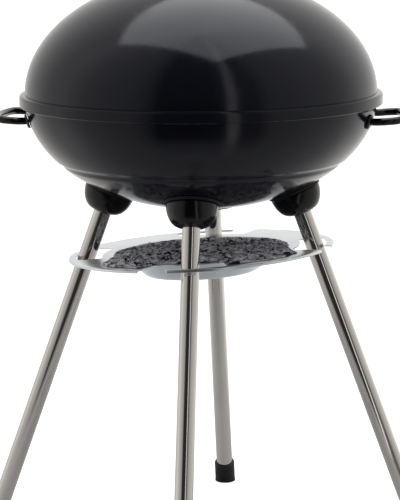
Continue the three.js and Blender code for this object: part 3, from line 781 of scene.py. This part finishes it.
bored(
    "damper_disc", lathe(upper + lower, 128), vent_holes(VENT_R, VENT_PITCH, VENT_LOW, VENT_HIGH),
    body="bottom_damper", nodes=["bottom_damper"], slot="enamel", material=ENAMEL,
)
make("damper_lever", verts, faces, "bottom_damper", [], "enamel", ENAMEL, Matrix.Rotation(LEVER_AT, 4, "Z"))
low = bowl_z(1e-4)
high = low + SHEET
bolt = [
    (0, high + 0.005), (0.004, high + 0.0046), (0.007, high + 0.0028), (0.008, high + 0.0006),
    (0.0037, high + 0.0006), (0.0037, low - 0.0028), (0.008, low - 0.0028), (0.008, low - 0.0054),
    (0.0072, low - 0.0058), (0, low - 0.0058),
]
make("pivot_bolt", *lathe(bolt, 64), "stand", ["damper_pivot_bolt"], "zinc", ZINC)


# ---------- grates ----------
def wire_ring(radius, wire, z):
    points = [Vector((*round_at(radius, i, 160), z)) for i in range(160)]
    return sweep(points, wire, 16, closed=True)


def bars(radius, bar, pitch, z):
    count = int((radius - 0.006) / pitch)
    for i in range(-count, count + 1):
        half = math.sqrt(radius**2 - (i * pitch) ** 2)
        yield sweep([Vector((-half + 2 * half * k / 6, i * pitch, z)) for k in range(7)], bar, 14)


def cross_wire(x, radius, wire, z):
    half = math.sqrt(radius**2 - x**2)
    return sweep([Vector((x, -half + 2 * half * k / 6, z)) for k in range(7)], wire, 14)


grate_r, grate_z, LOOP_R = 0.252, RIM_Z - 0.024, 0.226
parts = [wire_ring(grate_r, 0.003, grate_z), *bars(grate_r, 0.002, 0.026, grate_z)]
for x in (-0.09, 0.09):
    parts.append(cross_wire(x, grate_r, 0.0025, grate_z - 0.002))
# A lifting loop's line, in millimetres from its foot.
loop = [
    (0, -26, 0), (-1, -26, 10.8), (-3, -20.8, 16.7), (-4, 0, 18), (-3, 20.8, 16.7), (-1, 26, 10.8),
    (0, 26, 0),
]
for sign in (1, -1):
    route = [(sign * (LOOP_R + x * MM), sign * y * MM, grate_z + z * MM) for x, y, z in loop]
    points = curve_points(route, 8)
    parts.append(sweep(points, 0.0026, 14))
make("cooking_grate_wires", *joined(*parts), "cooking_grate", ["cooking_grate"], "plated_wire", CHROME)

fuel_z = RING_Z + 0.005
fuel_r = bowl_r(fuel_z - 0.0032) - SHEET * 1.6 - 0.0042
parts = [wire_ring(fuel_r, 0.0032, fuel_z), *bars(fuel_r, 0.0026, 0.034, fuel_z)]
for x in (-0.07, 0.07):
    parts.append(cross_wire(x, fuel_r, 0.0026, fuel_z - 0.002))
make("charcoal_grate_wires", *joined(*parts), "charcoal_grate", ["charcoal_grate"], "zinc", ZINC)

for i in range(4):
    shelf = grate_z - 0.003 - GAP
    wall = bowl_r(shelf - 0.016) - SHEET - 0.0006
    section = rounded(
        [(wall, shelf - 0.016, 0), (wall, shelf, 0.0022), (grate_r - 0.009, shelf, 0),
         (grate_r - 0.009, shelf - 0.002, 0), (wall - 0.002, shelf - 0.002, 0.0008),
         (wall - 0.002, shelf - 0.016, 0)], 6)
    verts, faces = prism([(p.x, p.y) for p in section], -0.010, 0.010)
    upright = Matrix.Rotation((45 + 90 * i) * DEG, 4, "Z") @ Matrix.Rotation(math.pi / 2, 4, "X")
    make(f"bracket_{i + 1}", verts, faces, "stand", [f"grate_bracket_{i + 1}"], "zinc", ZINC, upright)

# ---------- bowl handles ----------
HANDLE_Z, HANDLE_HALF = RIM_Z - 0.034, 0.062
HANDLE_A = math.asin(HANDLE_HALF / BOWL_R)
# A share of the handle's half angle, then millimetres out and up.
path = [
    (-1, 3, 0), (-1, 14, 0), (-0.98, 28, 1), (-0.82, 44, 2), (-0.4, 49, 2), (0, 50, 2), (0.4, 49, 2),
    (0.82, 44, 2), (0.98, 28, 1), (1, 14, 0), (1, 3, 0),
]
for side, turn in (("right", 0.0), ("left", math.pi)):
    base = bowl_r(HANDLE_Z)
    route = []
    for a, out, dz in path:
        r = base + out * MM
        route.append((r * math.cos(a * HANDLE_A), r * math.sin(a * HANDLE_A), HANDLE_Z + dz * MM))
    points = curve_points(route, 9)
    grip = sweep(points, lambda s: 0.0056 + 0.0004 * math.sin(math.pi * s), 28)
    section = [
        (0, 0.0044), (0.0085, 0.0042), (0.0105, 0.0034), (0.0118, 0.0018), (0.012, 0.0004), (0.012, 0.0),
        (0, 0.0),
    ]
    pad = lathe(section, 64)
    pads = [moved(pad, on_skin(s * HANDLE_A, HANDLE_Z, 0.0003)) for s in (-1, 1)]
    make(f"bowl_handle_{side}", *joined(grip, *pads), "stand", [f"side_handle_{side}"], "plastic", PLASTIC,
         Matrix.Rotation(turn, 4, "Z"), 50)
screw = [
    (0, 0.004), (0.0025, 0.0038), (0.0046, 0.0026), (0.0058, 0.0006), (0.0058, 0), (0.0024, 0),
    (0.0024, -0.006), (0, -0.006),
]
spots = [turn + s * HANDLE_A for turn in (0, math.pi) for s in (-1, 1)]
for i, azimuth in enumerate(spots):
    place = on_skin(azimuth, HANDLE_Z, -SHEET - 0.0004) @ Matrix.Rotation(math.pi, 4, "X")
    node = f"side_handle_screw_{i + 1}"
    make(f"handle_screw_{i + 1}", *lathe(screw, 48), "stand", [node], "zinc", ZINC, place)

# ---------- lid ----------
LID = Matrix.Translation((0, 0, LID_Z))


def lid_skin(t):
    return BOWL_R * math.sin(t), LID_HEIGHT * math.cos(t)


VENT_AT = math.asin(0.118 / BOWL_R)
vent_tilt = math.atan2(LID_HEIGHT * math.sin(VENT_AT), BOWL_R * math.cos(VENT_AT))
VENT = LID @ Matrix.Translation((0, *lid_skin(VENT_AT))) @ Matrix.Rotation(-vent_tilt, 4, "X")
skirt_r = BOWL_R + BEAD_R + 0.003 + SHEET
dome = [lid_skin(i * 2.2 * DEG) for i in range(41)]
inner = [(0.0, LID_HEIGHT - SHEET)] + offset(dome, -SHEET)[1:]
edge = [
    (BOWL_R, SHEET * 1.3), (skirt_r - 0.0040, SHEET * 1.1), (skirt_r - 0.0016, 0.0008),
    (skirt_r - 0.0003, -0.0012), (skirt_r, -0.004), (skirt_r, -LID_SKIRT + 0.0006),
    (skirt_r - 0.0008, -LID_SKIRT), (skirt_r - SHEET, -LID_SKIRT + 0.0004), (skirt_r - SHEET, -0.001),
    (skirt_r - 0.0040, 0.0), (BOWL_R - SHEET, 0.0),
]
LID_HOLES = list(vent_holes(LID_VENT_R, LID_VENT_PITCH, -LID_VENT_DEEP, LID_VENT_DEEP))
holes = [moved(hole, LID.inverted() @ VENT) for hole in LID_HOLES]
bored("lid_shell", lathe(dome[:-1] + edge + inner[::-1][1:], 192), holes,
      body="lid", nodes=["lid"], slot="enamel", material=ENAMEL, matrix=LID)

disc = [
    (0, 0.0022), (0.030, 0.0022), (0.033, 0.0020), (0.036, 0.0012), (0.036, 0.0024), (0.033, 0.0033),
    (0.030, 0.0036), (0, 0.0036),
]
bored("lid_vent_disc", lathe(disc, 96), LID_HOLES,
      body="lid_damper", nodes=["lid_damper"], slot="galvanised", material=GALVANISED, matrix=VENT)
tab = rounded([(0.016, 0.0030, 0), (0.016, 0.0174, 0.004), (0.032, 0.0174, 0.004), (0.032, 0.0030, 0)], 8)
make("lid_vent_tab", *prism([(p.x, p.y) for p in tab], -0.001, 0.001), "lid_damper", [], "galvanised",
     GALVANISED, VENT @ Matrix.Rotation(math.pi / 2, 4, "X"))
rivet = [
    (0, 0.007), (0.0025, 0.0068), (0.0048, 0.0058), (0.006, 0.0042), (0.0028, 0.0042), (0.0028, -0.003),
    (0.006, -0.003), (0.006, -0.0042), (0.0045, -0.0046), (0, -0.0046),
]
make("lid_vent_rivet", *lathe(rivet, 64), "lid", ["lid_damper_rivet"], "zinc", ZINC, VENT)

half, rise = 0.055, 0.046
peak = LID_HEIGHT + rise - 0.0005
low = LID_HEIGHT * math.sqrt(1 - ((half + 0.014) / BOWL_R) ** 2) + 0.0003
path = [
    (-half, 0, low + 0.002), (-half, 0, peak - 0.024), (-half + 0.008, 0, peak - 0.008),
    (-half + 0.026, 0, peak - 0.001), (0, 0, peak + 0.001), (half - 0.026, 0, peak - 0.001),
    (half - 0.008, 0, peak - 0.008), (half, 0, peak - 0.024), (half, 0, low + 0.002),
]
grip = sweep(curve_points(path, 12), lambda s: 0.0082 + 0.0013 * math.sin(math.pi * s) ** 2, 36)
foot = [
    (0, 0.016), (0.009, 0.016), (0.0105, 0.0135), (0.0120, 0.009), (0.0130, 0.004), (0.0130, 0.0), (0, 0.0),
]
feet = [moved(lathe(foot, 64), Matrix.Translation((s * half, 0, low + 0.0003))) for s in (-1, 1)]
make("lid_grip", *joined(grip, *feet), "lid", ["lid_handle"], "plastic", PLASTIC, LID, 50)
for i, sign in enumerate((-1, 1)):
    z = LID_HEIGHT * math.sqrt(1 - (half / BOWL_R) ** 2) - SHEET - 0.003
    head = [
        (0, z - 0.004), (0.003, z - 0.0038), (0.0056, z - 0.0024), (0.0068, z - 0.0004), (0.0068, z),
        (0.0024, z), (0.0024, z + 0.018), (0, z + 0.018),
    ]
    make(f"lid_screw_{i + 1}", *lathe(head, 48), "lid", [f"lid_handle_screw_{i + 1}"], "zinc", ZINC,
         LID @ Matrix.Translation((sign * half, 0, 0)))


# ---------- studio ----------
def plane(name, size, material):
    mesh = bpy.data.meshes.new(name)
    h = size / 2
    mesh.from_pydata([(-h, -h, 0), (h, -h, 0), (h, h, 0), (-h, h, 0)], [], [(0, 1, 2, 3)])
    mesh.materials.append(material)
    new_object(name, mesh)


# The room's light by direction, in degrees from -Y towards +X: bright behind and at the sides, dark
# where the camera stands, with one bright strip beside it.
ROOM = [
    (-180, 1.00), (-108, 0.80), (-92, 1.00), (-72, 0.72), (-50, 0.58), (-38, 0.50), (-28, 0.30),
    (-21, 0.035), (17, 0.03), (21, 0.05), (23, 1.15), (28, 1.15), (30, 0.12), (42, 0.16), (50, 0.46),
    (80, 0.66), (106, 0.76), (130, 1.10),
]
ROOM_TINT = (1, 0.98, 0.955)


def room_color(tree, place):
    """The room's light in the direction of a point or ray."""
    new, link = tree.nodes.new, tree.links.new
    split = new("ShaderNodeSeparateXYZ")
    link(place, split.inputs[0])
    flip = new("ShaderNodeMath")
    flip.operation = "MULTIPLY"
    flip.inputs[1].default_value = -1
    link(split.outputs["Y"], flip.inputs[0])
    turn = new("ShaderNodeMath")
    turn.operation = "ARCTAN2"
    link(split.outputs["X"], turn.inputs[0])
    link(flip.outputs[0], turn.inputs[1])
    share = new("ShaderNodeMapRange")
    share.inputs["From Min"].default_value = -math.pi
    share.inputs["From Max"].default_value = math.pi
    link(turn.outputs[0], share.inputs["Value"])
    room = new("ShaderNodeValToRGB")
    ramp = room.color_ramp
    while len(ramp.elements) < len(ROOM):
        ramp.elements.new(0.5)
    for element, (degrees, level) in zip(ramp.elements, ROOM):
        element.position = (degrees + 180) / 360
        element.color = (*(level * tint for tint in ROOM_TINT), 1)
    link(share.outputs["Result"], room.inputs["Fac"])
    return room.outputs["Color"]


def pale_floor():
    """White to look at. In reflections it is a soft grey near the object, and far off it is like the room."""
    p = Paint("floor", (0.50, 0.50, 0.51), 0.8, specular_ior_level=0.05)
    far = p.nodes.new("ShaderNodeEmission")
    p.link(room_color(p.material.node_tree, p.coords), far.inputs["Color"])
    reach = p.nodes.new("ShaderNodeVectorMath")
    reach.operation = "LENGTH"
    p.link(p.coords, reach.inputs[0])
    fade = p.nodes.new("ShaderNodeMapRange")
    fade.inputs["From Min"].default_value, fade.inputs["From Max"].default_value = 0.5, 1.1
    p.link(reach.outputs["Value"], fade.inputs["Value"])
    seen_by_object = p.nodes.new("ShaderNodeMixShader")
    p.link(fade.outputs["Result"], seen_by_object.inputs["Fac"])
    p.link(p.shader.outputs[0], seen_by_object.inputs[1])
    p.link(far.outputs[0], seen_by_object.inputs[2])
    glow = p.nodes.new("ShaderNodeEmission")
    glow.inputs["Color"].default_value = (1, 1, 1, 1)
    glow.inputs["Strength"].default_value = 0.86
    both = p.nodes.new("ShaderNodeAddShader")
    pick = p.nodes.new("ShaderNodeMixShader")
    p.link(p.shader.outputs[0], both.inputs[0])
    p.link(glow.outputs[0], both.inputs[1])
    p.link(p.nodes.new("ShaderNodeLightPath").outputs["Is Camera Ray"], pick.inputs["Fac"])
    p.link(seen_by_object.outputs[0], pick.inputs[1])
    p.link(both.outputs[0], pick.inputs[2])
    p.link(pick.outputs[0], p.nodes["Material Output"].inputs["Surface"])
    return p.material


plane("floor", 40, pale_floor())


def area(name, energy, side, place, aim):
    data = bpy.data.lights.new(name, "AREA")
    data.energy, data.shape, data.size = energy, "SQUARE", side
    lamp = new_object(name, data)
    lamp.location = place
    lamp.rotation_mode = "QUATERNION"
    lamp.rotation_quaternion = (Vector(aim) - Vector(place)).to_track_quat("-Z", "Y")


area("overhead", 70, 3.0, (0.2, 0.3, 3.2), (0, 0, 0.5))


def make_world():
    """The room, which the camera itself sees as plain white."""
    world = bpy.data.worlds.new("room")
    bpy.context.scene.world = world
    world.use_nodes = True
    tree = world.node_tree
    new, link = tree.nodes.new, tree.links.new
    room = room_color(tree, new("ShaderNodeTexCoord").outputs["Generated"])
    seen = new("ShaderNodeMix")
    seen.data_type = "RGBA"
    seen.inputs["B"].default_value = (1.02, 1.02, 1.02, 1)
    link(new("ShaderNodeLightPath").outputs["Is Camera Ray"], seen.inputs["Factor"])
    link(room, seen.inputs["A"])
    link(seen.outputs["Result"], tree.nodes["Background"].inputs["Color"])


make_world()


CAMERA_AZIMUTH, CAMERA_ELEVATION, CAMERA_ROLL = 6.04 * DEG, 10.2 * DEG, -0.54 * DEG
CAMERA_DISTANCE, AIM_SIDE, AIM_DROP = 3.40, -0.0039, 0.2468
SENSOR_MM, LENS_MM = 36, 154.008


def make_camera():
    a, e, roll, distance = CAMERA_AZIMUTH, CAMERA_ELEVATION, CAMERA_ROLL, CAMERA_DISTANCE
    back = Vector((math.sin(a) * math.cos(e), -math.cos(a) * math.cos(e), math.sin(e)))
    right = Vector((math.cos(a), math.sin(a), 0))
    up = back.cross(right)
    r = right * math.cos(roll) + up * math.sin(roll)
    u = up * math.cos(roll) - right * math.sin(roll)
    target = right * AIM_SIDE + Vector((0, 0, RIM_Z - AIM_DROP))
    data = bpy.data.cameras.new("camera")
    camera = new_object("camera", data)
    data.sensor_width = SENSOR_MM
    data.lens = LENS_MM
    facing = Matrix((r, u, back)).transposed().to_4x4()
    camera.matrix_world = Matrix.Translation(target + back * distance) @ facing
    bpy.context.scene.camera = camera


make_camera()
bpy.context.scene.view_settings.view_transform = "Standard"
